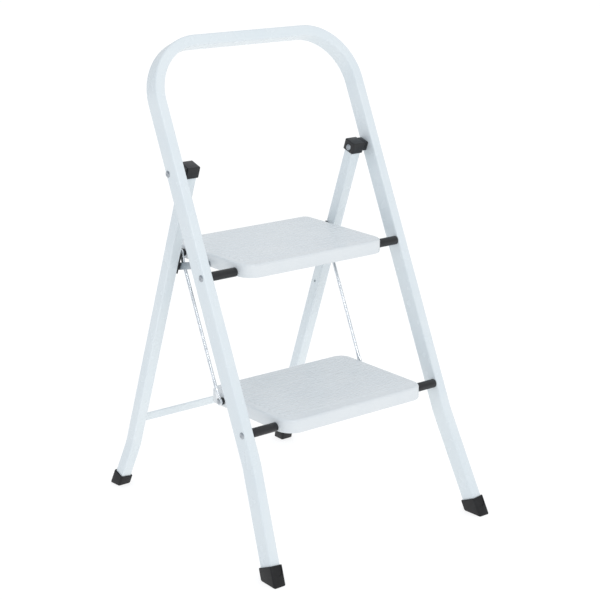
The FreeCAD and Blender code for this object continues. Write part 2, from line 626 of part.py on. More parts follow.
def main():
    save("front_frame", front_frame())
    save("upper_pivot_rod", pivot_rod(UPPER_PIVOT))
    save("lower_pivot_rod", pivot_rod(LOWER_PIVOT))
    save("rear_brace", rear_brace())
    save("upper_tread", tread(UPPER_REAR_CORNER, UPPER_PIVOT))
    save("lower_tread", tread(LOWER_REAR_CORNER, LOWER_PIVOT))
    save("upper_stiffener", tread_stiffener(UPPER_PIVOT))
    save("lower_stiffener", tread_stiffener(LOWER_PIVOT))
    for name, side in SIDES:
        save("front_foot_" + name, front_foot(side))
        save("frame_rivet_" + name, frame_rivet(side))
        save("upper_sleeve_" + name, sleeve(side, UPPER_PIVOT))
        save("lower_sleeve_" + name, sleeve(side, LOWER_PIVOT))
        save("rear_leg_" + name, rear_leg(side))
        save("hinge_cap_" + name, hinge_cap(side))
        save("rear_foot_" + name, rear_foot(side))
        save("leg_guide_" + name, leg_guide(side))
        save("link_rivet_" + name, link_rivet(side))
        save("fold_link_" + name, fold_link(side))
        save("link_stud_" + name, link_stud(side))
        save("tie_rod_" + name, tie_rod(side))
        save("upper_tie_rivet_" + name, tie_rivet(side, UPPER_TIE))
        save("lower_tie_rivet_" + name, tie_rivet(side, LOWER_TIE))
        save("upper_tie_bush_" + name, tie_bush(side, UPPER_TIE))
        save("lower_tie_bush_" + name, tie_bush(side, LOWER_TIE))
    link_turn = math.degrees(link_turn_angle())
    print("rear fold %.3f deg, tread fold %.3f deg, fold link turn %.3f deg"
          % (math.degrees(REAR_FOLD), math.degrees(TREAD_FOLD), link_turn))
    for label, point in (("hinge", HINGE), ("upper pivot", UPPER_PIVOT), ("lower pivot", LOWER_PIVOT),
                         ("link rear", LINK_REAR), ("link front", LINK_FRONT),
                         ("upper tie", UPPER_TIE), ("lower tie", LOWER_TIE)):
        print("%s y %.4f z %.4f" % (label, point[0], point[1]))


def link_turn_angle():
    """How far the fold link turns against the rear frame from open to folded."""
    front_folded = turn(LINK_FRONT, UPPER_PIVOT, TREAD_FOLD)
    rear_folded = turn(LINK_REAR, HINGE, -REAR_FOLD)
    opened = math.atan2(LINK_FRONT[1] - LINK_REAR[1], LINK_FRONT[0] - LINK_REAR[0])
    folded = math.atan2(front_folded[1] - rear_folded[1], front_folded[0] - rear_folded[0])
    return (folded - opened) + REAR_FOLD


main()
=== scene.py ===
import json
import math

import bmesh
import bpy
from mathutils import Matrix, Vector


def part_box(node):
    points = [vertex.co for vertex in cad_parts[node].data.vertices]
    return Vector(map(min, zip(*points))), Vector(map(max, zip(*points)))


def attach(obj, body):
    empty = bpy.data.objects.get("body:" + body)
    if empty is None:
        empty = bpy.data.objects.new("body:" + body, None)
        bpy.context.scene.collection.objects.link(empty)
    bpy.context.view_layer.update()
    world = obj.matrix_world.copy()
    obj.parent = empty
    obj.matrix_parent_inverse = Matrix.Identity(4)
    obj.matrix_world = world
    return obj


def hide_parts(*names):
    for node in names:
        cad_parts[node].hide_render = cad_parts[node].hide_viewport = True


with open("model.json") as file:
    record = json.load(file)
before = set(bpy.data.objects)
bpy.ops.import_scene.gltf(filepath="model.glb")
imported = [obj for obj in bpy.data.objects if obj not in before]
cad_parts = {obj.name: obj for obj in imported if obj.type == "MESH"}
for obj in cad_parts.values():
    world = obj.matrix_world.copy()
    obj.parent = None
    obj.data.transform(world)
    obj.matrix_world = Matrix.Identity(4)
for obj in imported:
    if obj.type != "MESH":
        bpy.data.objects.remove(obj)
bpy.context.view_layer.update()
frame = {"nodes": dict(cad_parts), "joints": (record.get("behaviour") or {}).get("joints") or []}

# Two-step folding stool: hoop frame, rear frame, two ribbed treads, tie rods and fold links.
# Metres, +X to the right from the front, +Y to the back, +Z up, floor at zero.


def mm(value):
    return value / 1000


def placed(name, data):
    """A new object with this data, linked to the scene."""
    made = bpy.data.objects.new(name, data)
    bpy.context.scene.collection.objects.link(made)
    return made


# ---------------------------------------------------------------- camera
CAMERA_PLACE = Vector((-1.6862, -2.0582, 1.1405))
CAMERA_YAW = math.radians(39.671)      # from +Y towards +X
CAMERA_PITCH = math.radians(-16.305)
CAMERA_ROLL = math.radians(0.770)
CAMERA_LENS = 99.37
CAMERA_SENSOR = 36


def make_camera():
    data = bpy.data.cameras.new("camera")
    data.lens = CAMERA_LENS
    data.sensor_width = CAMERA_SENSOR
    data.clip_end = 200
    camera = placed("camera", data)
    forward = Vector((math.sin(CAMERA_YAW) * math.cos(CAMERA_PITCH),
                      math.cos(CAMERA_YAW) * math.cos(CAMERA_PITCH), math.sin(CAMERA_PITCH)))
    level = Vector((math.cos(CAMERA_YAW), -math.sin(CAMERA_YAW), 0))
    upright = level.cross(forward)
    right = math.cos(CAMERA_ROLL) * level + math.sin(CAMERA_ROLL) * upright
    up = math.cos(CAMERA_ROLL) * upright - math.sin(CAMERA_ROLL) * level
    turn = Matrix((right, up, -forward)).transposed().to_4x4()
    camera.matrix_world = Matrix.Translation(CAMERA_PLACE) @ turn
    bpy.context.scene.camera = camera


make_camera()

# ---------------------------------------------------------------- sizes and places
FRONT_TUBE_WIDTH = mm(18)
FRONT_TUBE_DEPTH = mm(30)
FRONT_TUBE_CORNER = mm(3)
REAR_TUBE = mm(20)
REAR_TUBE_CORNER = mm(2.5)
FRONT_HALF_SPACING = mm(206)
FRONT_SPLAY_HEIGHT = mm(168)
FRONT_FOOT_SPLAY = mm(16.5)
REAR_FOOT_SPLAY = mm(11.5)
REAR_SPLAY_HEIGHT = mm(80)
SPLAY_BEND_RADIUS = mm(160)
HOOP_CORNER_RADIUS = mm(94)
HINGE_BEHIND_LEG = mm(9.15)
FOOT_SOLE = mm(4)
BOOT_WALL = mm(2.5)
VENT_HOLE = mm(5)
VENT_BELOW_TREAD = mm(122)
DRILL_OUT = mm(4)              # how far the vent's cutting tool stands out of the leg's inner face
DRILL_IN = mm(6)
EDGE_SOFT = mm(0.3)            # rounding of the edges of plain plates and bars

joint = {j["name"]: Vector(j["pos_m"]) for j in frame["joints"]}
HINGE = joint["rear_fold"]
UPPER_PIVOT = joint["upper_step_fold"]
LOWER_PIVOT = joint["lower_step_fold"]
LINK_REAR = joint["link_pivot_left"]
UPPER_TIE = joint["tie_pivot_left"]
STEP_RISE = UPPER_PIVOT.z - LOWER_PIVOT.z
TREAD_TOPS = {"upper": 2 * STEP_RISE, "lower": STEP_RISE}
TREAD_PIVOTS = {"upper": UPPER_PIVOT, "lower": LOWER_PIVOT}
TIE_OFFSET = UPPER_TIE - UPPER_PIVOT

FRONT_LEAN = math.atan2(UPPER_PIVOT.y - LOWER_PIVOT.y, UPPER_PIVOT.z - LOWER_PIVOT.z)
REAR_LEAN = math.atan2(LINK_REAR.y - HINGE.y, HINGE.z - LINK_REAR.z)
FRONT_FOOT_Y = HINGE.y - HINGE.z * math.tan(FRONT_LEAN) - HINGE_BEHIND_LEG / math.cos(FRONT_LEAN)
REAR_FOOT_Y = HINGE.y + HINGE.z * math.tan(REAR_LEAN)
FRONT_INNER = FRONT_HALF_SPACING - FRONT_TUBE_WIDTH / 2
FRONT_OUTER = FRONT_HALF_SPACING + FRONT_TUBE_WIDTH / 2
REAR_HALF_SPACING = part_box("rear_brace")[1].x + REAR_TUBE / 2
REAR_INNER = REAR_HALF_SPACING - REAR_TUBE / 2
SIDES = (("left", -1), ("right", 1))


def rear_point(x, along):
    """A point on the rear legs' middle line, a distance along them from the floor line."""
    return Vector((x, REAR_FOOT_Y - along * math.sin(REAR_LEAN), along * math.cos(REAR_LEAN)))


# ---------------------------------------------------------------- nodes
def linear(code):
    """An sRGB hex colour as linear RGBA."""
    channels = [int(code[i:i + 2], 16) / 255 for i in (1, 3, 5)]
    return [c / 12.92 if c <= 0.04045 else ((c + 0.055) / 1.055) ** 2.4 for c in channels] + [1.0]


def add(tree, kind, inputs=None, **settings):
    """Adds a node, sets its properties, and sets or links its inputs."""
    made = tree.nodes.new(kind)
    for name, value in settings.items():
        setattr(made, name, value)
    for name, value in (inputs or {}).items():
        if isinstance(value, bpy.types.NodeSocket):
            tree.links.new(value, made.inputs[name])
        else:
            made.inputs[name].default_value = value
    return made


def start_material(name, **sockets):
    """A Principled surface with fixed values, and the object's own coordinates."""
    material = bpy.data.materials.new(name)
    material.use_nodes = True
    tree = material.node_tree
    shader = tree.nodes["Principled BSDF"]
    for socket, value in sockets.items():
        shader.inputs[socket.replace("_", " ")].default_value = value
    place = add(tree, "ShaderNodeTexCoord").outputs["Object"]
    return material, tree, shader, place


def shaded_between(tree, factor, dark, light, low=0.3, high=0.7):
    ramp = add(tree, "ShaderNodeValToRGB", {"Fac": factor})
    for stop, position, code in zip(ramp.color_ramp.elements, (low, high), (dark, light)):
        stop.position = position
        stop.color = linear(code)
    return ramp.outputs["Color"]


def bumped(tree, height, depth):
    bump = add(tree, "ShaderNodeBump", {"Height": height, "Distance": depth, "Strength": 1.0})
    return bump.outputs["Normal"]


def per_metre(size):
    """Noise scale for features of a real size."""
    return 1 / size


# ---------------------------------------------------------------- materials
def powder_coat(name, dark, light, roughness, peel_depth):
    """Polyester powder coat baked on steel: an even cool white, a soft gloss and a slight orange peel."""
    material, tree, shader, place = start_material(name)
    cloud = add(tree, "ShaderNodeTexNoise", {"Vector": place, "Scale": per_metre(mm(60)), "Detail": 2.0})
    tree.links.new(shaded_between(tree, cloud.outputs["Fac"], dark, light), shader.inputs["Base Color"])
    gloss = add(tree, "ShaderNodeTexNoise", {"Vector": place, "Scale": per_metre(mm(25)), "Detail": 3.0})
    spread = add(tree, "ShaderNodeMapRange", {"Value": gloss.outputs["Fac"], "To Min": roughness - 0.04,
                                              "To Max": roughness + 0.05})
    tree.links.new(spread.outputs["Result"], shader.inputs["Roughness"])
    peel = add(tree, "ShaderNodeTexNoise", {"Vector": place, "Scale": per_metre(mm(6)), "Detail": 1.0})
    tree.links.new(bumped(tree, peel.outputs["Fac"], peel_depth), shader.inputs["Normal"])
    return material


def zinc_plate(name, dark, light, lean, grain, roughness):
    """Bright zinc on steel: blue-grey with cloudy passivation, and fine lines along the piece."""
    material, tree, shader, place = start_material(name, Metallic=1.0)
    leaned = add(tree, "ShaderNodeMapping", {"Vector": place, "Rotation": (lean, 0, 0)})
    lines = add(tree, "ShaderNodeMapping", {"Vector": leaned.outputs["Vector"], "Scale": grain})
    drawn = add(tree, "ShaderNodeTexNoise", {"Vector": lines.outputs["Vector"], "Scale": 1.0,
                                             "Detail": 3.0})
    cloud = add(tree, "ShaderNodeTexNoise", {"Vector": place, "Scale": per_metre(mm(9)), "Detail": 2.0})
    tree.links.new(shaded_between(tree, cloud.outputs["Fac"], dark, light), shader.inputs["Base Color"])
    spread = add(tree, "ShaderNodeMapRange", {"Value": drawn.outputs["Fac"], "To Min": roughness - 0.08,
                                              "To Max": roughness + 0.1})
    tree.links.new(spread.outputs["Result"], shader.inputs["Roughness"])
    tree.links.new(bumped(tree, drawn.outputs["Fac"], mm(0.003)), shader.inputs["Normal"])
    return material


def moulded(name, dark, light, roughness, gloss, grain, depth):
    """Injection-moulded black plastic or rubber: satin, with a fine grain and slight flow clouds."""
    material, tree, shader, place = start_material(name, Specular_IOR_Level=gloss)
    cloud = add(tree, "ShaderNodeTexNoise", {"Vector": place, "Scale": per_metre(mm(14)), "Detail": 3.0})
    tree.links.new(shaded_between(tree, cloud.outputs["Fac"], dark, light), shader.inputs["Base Color"])
    spread = add(tree, "ShaderNodeMapRange", {"Value": cloud.outputs["Fac"], "To Min": roughness - 0.06,
                                              "To Max": roughness + 0.08})
    tree.links.new(spread.outputs["Result"], shader.inputs["Roughness"])
    pits = add(tree, "ShaderNodeTexNoise", {"Vector": place, "Scale": per_metre(grain), "Detail": 2.0})
    tree.links.new(bumped(tree, pits.outputs["Fac"], depth), shader.inputs["Normal"])
    return material


DRAWN_LINES = (per_metre(mm(1.5)), per_metre(mm(1.5)), 12)      # across the rod twice, then along it
PRESSED_LINES = (per_metre(mm(25)), per_metre(mm(2)), per_metre(mm(2)))

FRAME_COAT = powder_coat("white_powder_coat_on_tube", "#E0E8EC", "#E4EBEE", 0.26, mm(0.0015))
TREAD_COAT = powder_coat("white_powder_coat_on_pressed_sheet", "#DFE4E7", "#E3E7E9", 0.20, mm(0.001))
DRAWN_ZINC = zinc_plate("bright_zinc_on_drawn_rod", "#D2D7DC", "#ECEFF2", FRONT_LEAN,
                        DRAWN_LINES, 0.22)
PRESSED_ZINC = zinc_plate("bright_zinc_on_pressed_steel", "#9BA1A7", "#B9BEC3", 0,
                          PRESSED_LINES, 0.3)
NYLON = moulded("black_nylon_satin", "#191A1C", "#222326", 0.36, 0.42, mm(2.5), mm(0.02))
RUBBER = moulded("black_rubber_boot", "#151516", "#1F1F21", 0.42, 0.30, mm(2.5), mm(0.03))


# ---------------------------------------------------------------- mesh helpers
def piece(name, mesh, body, replaced, smooth_angle):
    """Links a finished mesh as a piece of a body and hides the nodes it stands for."""
    made = placed(name, mesh)
    mesh.name = name
    mesh.shade_smooth()
    mesh.set_sharp_from_angle(angle=math.radians(smooth_angle))
    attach(made, body)
    if replaced:
        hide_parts(*replaced)


def mesh_from(build, name):
    """A plain mesh from a bmesh, which is freed."""
    mesh = bpy.data.meshes.new(name)
    build.to_mesh(mesh)
    build.free()
    return mesh


def both(first, second, name, material):
    """Two meshes as one, with one material."""
    build = bmesh.new()
    build.from_mesh(first)
    build.from_mesh(second)
    mesh = mesh_from(build, name)
    mesh.materials.append(material)
    return mesh


def finished(build, name, material, bevel=0.0, segments=3, bevel_angle=35):
    """Turns a bmesh into a plain mesh with one material, its edges softened."""
    bmesh.ops.recalc_face_normals(build, faces=build.faces)
    mesh = mesh_from(build, name)
    mesh.materials.append(material)
    holder = placed(name + "_blank", mesh)
    if bevel:
        soft = holder.modifiers.new("soft edges", "BEVEL")
        soft.width = bevel
        soft.segments = segments
        soft.limit_method = "ANGLE"
        soft.angle_limit = math.radians(bevel_angle)
        soft.harden_normals = False
    return baked(holder)


def baked(holder):
    """The evaluated object as a plain mesh; the object itself is removed."""
    graph = bpy.context.evaluated_depsgraph_get()
    mesh = bpy.data.meshes.new_from_object(holder.evaluated_get(graph))
    bpy.data.objects.remove(holder)
    return mesh


def rounded_outline(width, depth, corner, steps=6):
    """Points of a rounded rectangle about the origin, anticlockwise."""
    points = []
    for cx, cy, start in ((1, 1, 0), (-1, 1, 90), (-1, -1, 180), (1, -1, 270)):
        for i in range(steps + 1):
            turn = math.radians(start + 90 * i / steps)
            points.append((cx * (width / 2 - corner) + corner * math.cos(turn),
                           cy * (depth / 2 - corner) + corner * math.sin(turn)))
    return points


def loft(rings, close_start=True):
    """A bmesh skin through rings that have equally many points, closed at its end."""
    build = bmesh.new()
    rows = [[build.verts.new(p) for p in ring] for ring in rings]
    count = len(rows[0])
    for row, above in zip(rows, rows[1:]):
        for i in range(count):
            j = (i + 1) % count
            build.faces.new((row[i], row[j], above[j], above[i]))
    if close_start:
        build.faces.new(list(reversed(rows[0])))
    build.faces.new(rows[-1])
    return build


def turned(profile, centre, outward, steps=48):
    """A bmesh turned about X: profile gives (distance outwards from the centre, radius)."""
    rings = []
    for out, radius in profile:
        ring = []
        for i in range(steps):
            angle = 2 * math.pi * i / steps
            ring.append(Vector((centre.x + outward * out, centre.y + radius * math.cos(angle),
                                centre.z + radius * math.sin(angle))))
        rings.append(ring)
    return loft(rings)


def arc_profile(radius, corner, steps=5):
    """Profile points round a corner of a turned piece: a quarter circle about its radius."""
    points = []
    for i in range(steps + 1):
        turn = math.radians(90 * i / steps)
        points.append((corner * math.cos(turn), radius + corner * math.sin(turn)))
    return points


def merged(target, source):
    """Adds a bmesh to another and frees it."""
    mesh = mesh_from(source, "part")
    target.from_mesh(mesh)
    bpy.data.meshes.remove(mesh)


# ---------------------------------------------------------------- node trees that make geometry
CORNER_STEPS = 6


def start_tree(name, inputs):
    """A geometry tree with named inputs; returns it with its input and output nodes."""
    tree = bpy.data.node_groups.new(name, "GeometryNodeTree")
    tree.interface.new_socket("Geometry", in_out="INPUT", socket_type="NodeSocketGeometry")
    for socket, kind in inputs:
        tree.interface.new_socket(socket, in_out="INPUT", socket_type=kind)
    tree.interface.new_socket("Geometry", in_out="OUTPUT", socket_type="NodeSocketGeometry")
    return tree, tree.nodes.new("NodeGroupInput"), tree.nodes.new("NodeGroupOutput")


def end_tree(tree, given, last, geometry):
    solid = add(tree, "GeometryNodeRealizeInstances", {"Geometry": geometry})
    painted = add(tree, "GeometryNodeSetMaterial", {"Geometry": solid.outputs["Geometry"],
                                                    "Material": given.outputs["Material"]})
    tree.links.new(painted.outputs["Geometry"], last.inputs["Geometry"])
    return tree


def grown(name, tree, start_mesh, values):
    """Runs a geometry tree on a mesh and returns the plain mesh."""
    holder = placed(name + "_start", start_mesh)
    run = holder.modifiers.new(name, "NODES")
    run.node_group = tree
    names = {item.name: item.identifier for item in tree.interface.items_tree
             if item.item_type == "SOCKET" and item.in_out == "INPUT"}
    for socket, value in values.items():
        run[names[socket]] = value
    return baked(holder)


def tube_tree():
    """A tube with rounded corners along an upright path, then leaned over about the floor line."""
    sizes = ("Width", "Depth", "Corner", "Lean", "Foot Y")
    sockets = [(size, "NodeSocketFloat") for size in sizes] + [("Material", "NodeSocketMaterial")]
    tree, given, last = start_tree("rounded tube", sockets)
    take = given.outputs
    path = add(tree, "GeometryNodeMeshToCurve", {"Mesh": take["Geometry"]})
    section = add(tree, "GeometryNodeCurvePrimitiveQuadrilateral",
                  {"Width": take["Depth"], "Height": take["Width"]}, mode="RECTANGLE")
    rounded = add(tree, "GeometryNodeFilletCurve",
                  {"Curve": section.outputs["Curve"], "Radius": take["Corner"], "Count": CORNER_STEPS},
                  mode="POLY")
    tube = add(tree, "GeometryNodeCurveToMesh",
               {"Curve": path.outputs["Curve"], "Profile Curve": rounded.outputs["Curve"], "Fill Caps": True})
    smooth = add(tree, "GeometryNodeSetShadeSmooth", {"Geometry": tube.outputs["Mesh"]})
    turn = add(tree, "ShaderNodeCombineXYZ", {"X": take["Lean"]})
    move = add(tree, "ShaderNodeCombineXYZ", {"Y": take["Foot Y"]})
    leaned = add(tree, "GeometryNodeTransform", {"Geometry": smooth.outputs["Geometry"],
                                                 "Rotation": turn.outputs["Vector"],
                                                 "Translation": move.outputs["Vector"]})
    return end_tree(tree, given, last, leaned.outputs["Geometry"])


def copies_tree():
    """Copies of one small mesh on every point, each scaled along X, Y and Z by the point's own values."""
    tree, given, last = start_tree("copies on points", [("Part", "NodeSocketObject"),
                                                        ("Material", "NodeSocketMaterial")])
    part = add(tree, "GeometryNodeObjectInfo", {"Object": given.outputs["Part"]})
    points = add(tree, "GeometryNodeMeshToPoints", {"Mesh": given.outputs["Geometry"]})
    size = add(tree, "GeometryNodeInputNamedAttribute", {"Name": "grow"}, data_type="FLOAT_VECTOR")
    spots = add(tree, "GeometryNodeInstanceOnPoints", {"Points": points.outputs["Points"],
                                                       "Instance": part.outputs["Geometry"],
                                                       "Scale": size.outputs["Attribute"]})
    return end_tree(tree, given, last, spots.outputs["Instances"])


def rib_tree():
    """Equal ribs in a row: the start mesh is one rib, copied at a pitch along Y."""
    tree, given, last = start_tree("row of ribs", [("Count", "NodeSocketInt"), ("Pitch", "NodeSocketFloat"),
                                                   ("Material", "NodeSocketMaterial")])
    step = add(tree, "ShaderNodeCombineXYZ", {"Y": given.outputs["Pitch"]})
    row = add(tree, "GeometryNodeMeshLine", {"Count": given.outputs["Count"],
                                             "Offset": step.outputs["Vector"]})
    ribs = add(tree, "GeometryNodeInstanceOnPoints", {"Points": row.outputs["Mesh"],
                                                      "Instance": given.outputs["Geometry"]})
    return end_tree(tree, given, last, ribs.outputs["Instances"])


TUBE = tube_tree()
COPIES = copies_tree()
RIBS = rib_tree()


# ---------------------------------------------------------------- tubes
def path_mesh(name, points, radii, chord=mm(3)):
    """An edge path through the points, each inner corner rounded by an arc."""
    route = [points[0]]
    for before, corner, after, radius in zip(points, points[1:], points[2:], radii):
        to_before = (before - corner).normalized()
        to_after = (after - corner).normalized()
        half = to_before.angle(to_after) / 2
        start = corner + to_before * (radius / math.tan(half))
        centre = corner + (to_before + to_after).normalized() * (radius / math.sin(half))
        turn = math.pi - 2 * half
        steps = max(4, math.ceil(radius * turn / chord))
        axis = to_before.cross(to_after).normalized()
        for i in range(steps + 1):
            route.append(centre + Matrix.Rotation(-turn * i / steps, 3, axis) @ (start - centre))
    route.append(points[-1])
    mesh = bpy.data.meshes.new(name)
    mesh.from_pydata(route, [(i, i + 1) for i in range(len(route) - 1)], [])
    return mesh


def tube_start(depth, lean):
    """How far along a leg its square-cut tube starts, so that it stays above the boot's sole."""
    return (FOOT_SOLE + depth / 2 * math.sin(lean)) / math.cos(lean)


def hoop_tube():
    """One bent tube: both front legs and the hoop over them."""
    bend = FRONT_SPLAY_HEIGHT / math.cos(FRONT_LEAN)
    start = tube_start(FRONT_TUBE_DEPTH, FRONT_LEAN)
    c, s = math.cos(FRONT_LEAN), math.sin(FRONT_LEAN)
    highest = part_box("front_frame")[1].z
    outer_face = highest - FRONT_TUBE_DEPTH / 2 * s + FRONT_TUBE_CORNER * (c + s - 1)
    top = outer_face / c - FRONT_TUBE_WIDTH / 2
    foot_x = FRONT_HALF_SPACING + FRONT_FOOT_SPLAY * (1 - start / bend)
    left = [Vector((-foot_x, 0, start)), Vector((-FRONT_HALF_SPACING, 0, bend)),
            Vector((-FRONT_HALF_SPACING, 0, top))]
    points = left + [Vector((-p.x, 0, p.z)) for p in reversed(left)]
    radii = [SPLAY_BEND_RADIUS, HOOP_CORNER_RADIUS, HOOP_CORNER_RADIUS, SPLAY_BEND_RADIUS]
    mesh = grown("hoop_frame_tube", TUBE, path_mesh("hoop path", points, radii), {
        "Width": FRONT_TUBE_WIDTH, "Depth": FRONT_TUBE_DEPTH, "Corner": FRONT_TUBE_CORNER,
        "Lean": -FRONT_LEAN, "Foot Y": FRONT_FOOT_Y, "Material": FRAME_COAT})
    piece("hoop_frame_tube", mesh, "front", ["front_frame"], 40)


def rear_leg_tube(name, side):
    """Square tube with a splayed foot and a small vent hole in its inner face."""
    bend = REAR_SPLAY_HEIGHT / math.cos(REAR_LEAN)
    start = tube_start(REAR_TUBE, REAR_LEAN)
    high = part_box("rear_leg_" + name)[1].z
    top = (high - REAR_TUBE / 2 * math.sin(REAR_LEAN)) / math.cos(REAR_LEAN)
    foot_x = REAR_HALF_SPACING + REAR_FOOT_SPLAY * (1 - start / bend)
    points = [Vector((side * foot_x, 0, start)), Vector((side * REAR_HALF_SPACING, 0, bend)),
              Vector((side * REAR_HALF_SPACING, 0, top))]
    mesh = grown("rear_leg", TUBE, path_mesh("rear path", points, [SPLAY_BEND_RADIUS]), {
        "Width": REAR_TUBE, "Depth": REAR_TUBE, "Corner": REAR_TUBE_CORNER,
        "Lean": REAR_LEAN, "Foot Y": REAR_FOOT_Y, "Material": FRAME_COAT})
    height = TREAD_TOPS["upper"] - VENT_BELOW_TREAD
    hole = rear_point(side * REAR_INNER, height / math.cos(REAR_LEAN))
    drill = turned([(-DRILL_OUT, VENT_HOLE / 2), (DRILL_IN, VENT_HOLE / 2)], hole, side, 32)
    drilled = drilled_mesh(mesh, finished(drill, "drill", RUBBER))
    piece("rear_leg_tube_" + name, drilled, "rear", ["rear_leg_" + name], 40)


def drilled_mesh(mesh, tool_mesh):
    """Cuts one mesh with another."""
    holder = placed("blank", mesh)
    tool = placed("tool", tool_mesh)
    cut = holder.modifiers.new("cut", "BOOLEAN")
    cut.operation = "DIFFERENCE"
    cut.object = tool
    cut.solver = "EXACT"
    result = baked(holder)
    bpy.data.objects.remove(tool)
    return result


# ---------------------------------------------------------------- boots
BOOT_SIZES = {"front": (FRONT_TUBE_WIDTH, FRONT_TUBE_DEPTH, mm(24.5)),     # width, depth, height
              "rear": (REAR_TUBE, REAR_TUBE, mm(21))}
BOOT_CORNER = mm(3.6)
BOOT_POCKET_EDGE = mm(3.2)
BOOT_POCKET_DEPTH = mm(1.1)
BOOT_POCKET_FOOT = mm(9)
BOOT_POCKET_BELOW_RIM = mm(2.6)
BOOT_POCKET_TOOL = mm(2)       # how far its cutting tool stands out of the boot
BOOT_LEAST_CORNER = mm(0.8)
BOOT_SOLE_RINGS = ((0.0, 2.4), (0.15, 1.5), (0.7, 0.7), (1.5, 0.2), (2.4, 0.0))    # height, inset
BOOT_RIM_RINGS = ((-1.1, 0.0), (-0.5, 0.12), (-0.12, 0.5), (0.0, 1.1), (0.0, 2.0), (-2.0, 2.4))


def boot(end, name, side):
    """Moulded rubber boot: flat sole with a rounded edge, walls along the leg and a rolled rim."""
    width, depth, height = BOOT_SIZES[end]
    lean, foot_y = (FRONT_LEAN, FRONT_FOOT_Y) if end == "front" else (-REAR_LEAN, REAR_FOOT_Y)
    half = FRONT_HALF_SPACING if end == "front" else REAR_HALF_SPACING
    splay = FRONT_FOOT_SPLAY if end == "front" else REAR_FOOT_SPLAY
    bend = (FRONT_SPLAY_HEIGHT if end == "front" else REAR_SPLAY_HEIGHT) / math.cos(lean)
    splay_angle = math.atan2(splay, bend)
    place = (Matrix.Translation((side * (half + splay), foot_y, 0)) @ Matrix.Rotation(-lean, 4, "X")
             @ Matrix.Rotation(-side * splay_angle, 4, "Y"))
    axis = (place.to_3x3() @ Vector((0, 0, 1))).normalized()

    def outline(inset):
        grow = BOOT_WALL - inset
        corner = max(BOOT_CORNER - inset, BOOT_LEAST_CORNER)
        return [place @ Vector((x, y, 0))
                for x, y in rounded_outline(width + 2 * grow, depth + 2 * grow, corner, 8)]

    rings = []
    for up, inset in BOOT_SOLE_RINGS:
        rings.append([p + axis * ((mm(up) - p.z) / axis.z) for p in outline(mm(inset))])
    along = height / math.cos(lean)
    for down, inset in BOOT_RIM_RINGS:
        rings.append([p + axis * (along + mm(down)) for p in outline(mm(inset))])
    mesh = finished(loft(rings), end + "_boot", RUBBER)
    if end == "front":
        mesh = drilled_mesh(mesh, boot_pocket(place, width, depth, along))
    piece(end + "_boot_" + name, mesh, end, [end + "_foot_" + name], 30)


def boot_pocket(place, width, depth, top):
    """The shallow panel sunk in a front boot's face: straight sides and a round lower end."""
    radius = width / 2 + BOOT_WALL - BOOT_POCKET_EDGE
    face = -depth / 2 - BOOT_WALL
    rim = top - BOOT_POCKET_BELOW_RIM
    outline = [(radius, rim), (-radius, rim)]
    for degrees in range(0, 181, 15):
        turn = math.radians(degrees)
        outline.append((-radius * math.cos(turn), BOOT_POCKET_FOOT + radius - radius * math.sin(turn)))
    rings = [[place @ Vector((x, face + y, z)) for x, z in outline]
             for y in (BOOT_POCKET_DEPTH, -BOOT_POCKET_TOOL)]
    return finished(loft(rings), "pocket", RUBBER)


# ---------------------------------------------------------------- turned pieces and rivets
PIVOT_ROD = mm(8)
SLEEVE_SOFT = mm(0.9)
SLEEVE_END_WALL = mm(2)
BUSH_SOFT = mm(0.5)
BUSH_BORE = mm(5)
RIVETS = {"frame": (mm(11), mm(1.8), mm(0.7)),       # head, rise, depth of the dimple
          "hinge": (mm(11.4), mm(2.6), mm(0.8)),
          "link": (mm(10.5), mm(0.8), mm(0.3)),
          "tie": (mm(9), mm(1.4), mm(0.4))}


def rivet_profile(head, rise, dimple, buried=mm(0.5)):
    """Riveted-over head: a low dome with a rolled edge and a ring-shaped dimple in its middle."""
    radius = head / 2
    points = [(-buried, radius * 0.97), (0.0, radius), (rise * 0.22, radius * 0.985),
              (rise * 0.45, radius * 0.93), (rise * 0.7, radius * 0.8), (rise * 0.9, radius * 0.62),
              (rise, radius * 0.44)]
    points += [(rise * 0.94, radius * 0.36), (rise - dimple, radius * 0.28),
               (rise - dimple * 1.15, radius * 0.16), (rise - dimple * 0.9, radius * 0.05)]
    return points


def part_for_copies(name, build):
    """A mesh object that trees copy; it isn't shown itself."""
    made = bpy.data.objects.new(name, finished(build, name, PRESSED_ZINC))
    made.data.shade_smooth()
    made.data.set_sharp_from_angle(angle=math.radians(50))
    return made


def rivets(name, body, kind, spots, replaced=()):
    """Rivet heads at (point, outward) spots on one body."""
    start = bpy.data.meshes.new(name + "_spots")
    start.from_pydata([p for p, _ in spots], [], [])
    grow = start.attributes.new("grow", "FLOAT_VECTOR", "POINT")
    for item, (_, outward) in zip(grow.data, spots):
        item.vector = (outward, 1, 1)
    part = part_for_copies(name + "_head", turned(rivet_profile(*RIVETS[kind]), Vector(), 1, 40))
    mesh = grown(name, COPIES, start, {"Part": part, "Material": PRESSED_ZINC})
    build = bmesh.new()
    build.from_mesh(mesh)
    bmesh.ops.recalc_face_normals(build, faces=build.faces)
    build.to_mesh(mesh)
    build.free()
    piece(name, mesh, body, replaced, 50)


def pivot_rod(which):
    """Plated steel rod across the frame under a tread."""
    pivot = TREAD_PIVOTS[which]
    build = turned([(-FRONT_OUTER, PIVOT_ROD / 2), (FRONT_OUTER, PIVOT_ROD / 2)], pivot, 1, 32)
    mesh = finished(build, which + "_rod", PRESSED_ZINC)
    piece(which + "_pivot_bar", mesh, "front", [which + "_pivot_rod"], 40)


